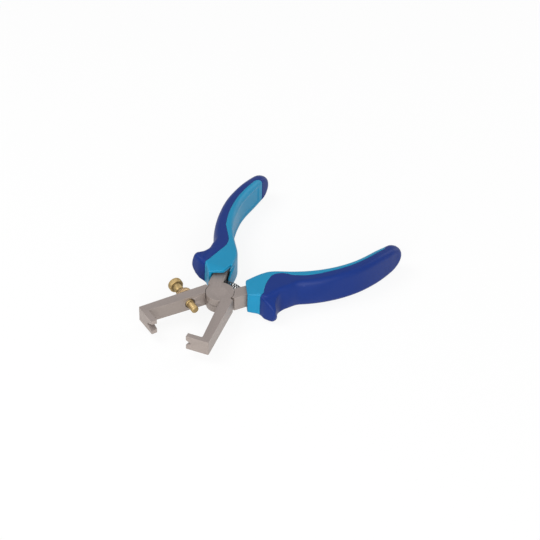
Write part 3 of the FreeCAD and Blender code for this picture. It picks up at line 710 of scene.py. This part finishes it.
def shape_tip(x, y, z):
    """Thin the tip, move the seam behind it on and lean the whole end inwards."""
    z *= 1 - 0.13 * ramp(x, 92.0, 108.0)
    x += 2.0 * between(x, (84.0, 100.0), (101.0, 111.0))
    lean = ramp(x, 76.0, 111.0)
    return x - 0.25 * lean, y + 0.9 * lean, z


def mould(point):
    """Move a point of a grip from its plain form to the moulded one, in millimetres of the handle's frame."""
    place = tuple(point)
    for step in (swell_outer, thin_collar, round_guard, shape_tip):
        place = step(*place)
    x, y, z = place
    return x, y, max(-GRIP_HALF, z)


def shape_grip(piece, side):
    """Give a softened grip its swell, its rounded thumb guard and its thinner collar."""
    frame_of = handle_frame(side)
    back = frame_of.inverted()
    for vertex in piece.data.vertices:
        moved = Vector(mould((back @ vertex.co) / MM))
        vertex.co = frame_of @ (moved * MM)
    piece.data.update()


class STRIPPER_OT_grips(bpy.types.Operator):
    """Round both two-tone grips and give them their moulded finishes"""

    bl_idname = "stripper.grips"
    bl_label = "Grips"

    def execute(self, context):
        light = moulded_material("Light core plastic", tuple(colours().light_blue), 0.40, 0.28, 5200.0, 0.25)
        dark = moulded_material("Dark sleeve rubber", tuple(colours().dark_blue), 0.44, 0.20, 4200.0, 0.35)
        for side in ("screw_side", "plain_side"):
            for part, finish, slot in (("core", light, "light_core"), ("sleeve", dark, "dark_sleeve")):
                node = f"{side}_grip_{part}"
                partner = f"{side}_grip_{'sleeve' if part == 'core' else 'core'}"
                piece = softened(node, partner, side, f"{node}_moulded", finish)
                shape_grip(piece, side)
                place(piece, side, node, slot)
        return {"FINISHED"}


class STRIPPER_OT_stage(bpy.types.Operator):
    """Set the pale floor, the soft studio light and the camera"""

    bl_idname = "stripper.stage"
    bl_label = "Studio"

    def execute(self, context):
        build_floor()
        build_world()
        build_lamps()
        build_camera()
        return {"FINISHED"}


def build_floor():
    """Wide white floor under the grips that keeps a soft shadow."""
    mesh = bpy.data.meshes.new("floor")
    reach, level = 3.0, CAD_BOX[0][2] - 0.02 * MM
    mesh.from_pydata([(-reach, -reach, level), (reach, -reach, level), (reach, reach, level),
                      (-reach, reach, level)], [], [(0, 1, 2, 3)])
    material = bpy.data.materials.new("White floor")
    material.use_nodes = True
    nodes = Nodes(material.node_tree)
    nodes.tree.nodes.clear()
    matt = nodes.add("ShaderNodeBsdfDiffuse", Color=(0.86, 0.86, 0.86, 1.0))
    glow = nodes.add("ShaderNodeEmission", Color=(1.0, 1.0, 1.0, 1.0), Strength=1.0)
    path = nodes.add("ShaderNodeLightPath")
    mirrored = nodes.maths("MAXIMUM", path.outputs["Is Glossy Ray"], path.outputs["Is Transmission Ray"])
    seen = nodes.maths("MAXIMUM", path.outputs["Is Camera Ray"], mirrored)
    share = nodes.maths("MULTIPLY", seen, 0.88)
    mix = nodes.add("ShaderNodeMixShader")
    nodes.link(share, mix.inputs[0])
    nodes.link(matt.outputs[0], mix.inputs[1])
    nodes.link(glow.outputs[0], mix.inputs[2])
    output = nodes.add("ShaderNodeOutputMaterial")
    nodes.link(mix.outputs[0], output.inputs["Surface"])
    new_piece("floor", mesh, material)


def build_world():
    """Even pale surroundings, white where the camera, metal or glass sees them."""
    world = bpy.data.worlds.new("Studio")
    bpy.context.scene.world = world
    world.use_nodes = True
    nodes = Nodes(world.node_tree)
    nodes.tree.nodes.clear()
    fill = nodes.add("ShaderNodeBackground", Color=(1.0, 1.0, 1.0, 1.0), Strength=0.40)
    white = nodes.add("ShaderNodeBackground", Color=(1.0, 1.0, 1.0, 1.0), Strength=1.0)
    path = nodes.add("ShaderNodeLightPath")
    mix = nodes.add("ShaderNodeMixShader")
    mirrored = nodes.maths("MAXIMUM", path.outputs["Is Glossy Ray"], path.outputs["Is Transmission Ray"])
    seen = nodes.maths("MAXIMUM", path.outputs["Is Camera Ray"], mirrored)
    nodes.link(seen, mix.inputs[0])
    nodes.link(fill.outputs[0], mix.inputs[1])
    nodes.link(white.outputs[0], mix.inputs[2])
    output = nodes.add("ShaderNodeOutputWorld")
    nodes.link(mix.outputs[0], output.inputs["Surface"])


def add_lamp(name, place_at, aim, size, power):
    lamp = bpy.data.lights.new(name, "AREA")
    lamp.shape = "RECTANGLE"
    lamp.size, lamp.size_y = size
    lamp.energy = power
    holder = bpy.data.objects.new(name, lamp)
    bpy.context.scene.collection.objects.link(holder)
    holder.location = place_at
    holder.rotation_euler = (Vector(aim) - Vector(place_at)).to_track_quat("-Z", "Y").to_euler()


def build_lamps():
    """Soft boxes: a weak one high up, a wide one low at the front and a narrow one on the right."""
    aim = (0.02, 0.0, 0.0)
    add_lamp("key_softbox", (-0.25, 0.45, 0.8), aim, (0.5, 0.5), 3.6)
    add_lamp("front_softbox", (-0.75, -0.62, 0.36), aim, (1.3, 0.9), 14.0)
    add_lamp("right_strip", (0.75, -0.25, 0.4), aim, (0.3, 0.8), 2.0)


def build_camera():
    """Camera at the photo's angle: its long lens was fitted to the tool's own measures."""
    flat = math.cos(VIEW_LIFT)
    back = Vector((math.sin(VIEW_TURN) * flat, -math.cos(VIEW_TURN) * flat, math.sin(VIEW_LIFT)))
    right = Vector((math.cos(VIEW_TURN), math.sin(VIEW_TURN), 0.0))
    up = back.cross(right)
    across = right * math.cos(VIEW_ROLL) - up * math.sin(VIEW_ROLL)
    upward = right * math.sin(VIEW_ROLL) + up * math.cos(VIEW_ROLL)
    aside, below = ((seen - PICTURE / 2) / VIEW_FOCAL * VIEW_DISTANCE for seen in PIVOT_SEEN)
    eye = Vector((0, 0, VIEW_HEIGHT)) + back * VIEW_DISTANCE - across * aside + upward * below
    camera = bpy.data.cameras.new("photo_camera")
    camera.sensor_width = SENSOR
    camera.lens = VIEW_FOCAL / PICTURE * SENSOR
    camera.clip_start, camera.clip_end = 0.05, 20.0
    holder = bpy.data.objects.new("photo_camera", camera)
    bpy.context.scene.collection.objects.link(holder)
    heading = Matrix((across, upward, back)).transposed().to_4x4()
    holder.matrix_world = Matrix.Translation(eye) @ heading
    bpy.context.scene.camera = holder


class STRIPPER_PT_panel(bpy.types.Panel):
    """Buttons for the pieces of the wire stripper"""

    bl_idname = "STRIPPER_PT_panel"
    bl_label = "End wire stripper"
    bl_space_type = "VIEW_3D"
    bl_region_type = "UI"
    bl_category = "Stripper"

    def draw(self, context):
        for step in STEPS:
            self.layout.operator(step.bl_idname)
        for group in (context.scene.stripper_sizes, context.scene.stripper_colours):
            box = self.layout.box()
            for name in group.__annotations__:
                box.prop(group, name)


STEPS = (STRIPPER_OT_levers, STRIPPER_OT_spring, STRIPPER_OT_screw, STRIPPER_OT_nut, STRIPPER_OT_grips,
         STRIPPER_OT_stage)
CLASSES = (StripperSizes, StripperColours) + STEPS + (STRIPPER_PT_panel,)


def register():
    for cls in CLASSES:
        bpy.utils.register_class(cls)
    bpy.types.Scene.stripper_sizes = PointerProperty(type=StripperSizes)
    bpy.types.Scene.stripper_colours = PointerProperty(type=StripperColours)


def unregister():
    del bpy.types.Scene.stripper_colours
    del bpy.types.Scene.stripper_sizes
    for cls in reversed(CLASSES):
        bpy.utils.unregister_class(cls)


def main():
    register()
    bpy.context.scene.view_settings.view_transform = "Standard"
    for step in STEPS:
        group, name = step.bl_idname.split(".")
        getattr(getattr(bpy.ops, group), name)()
    bpy.context.view_layer.update()


if __name__ == "__main__":
    main()
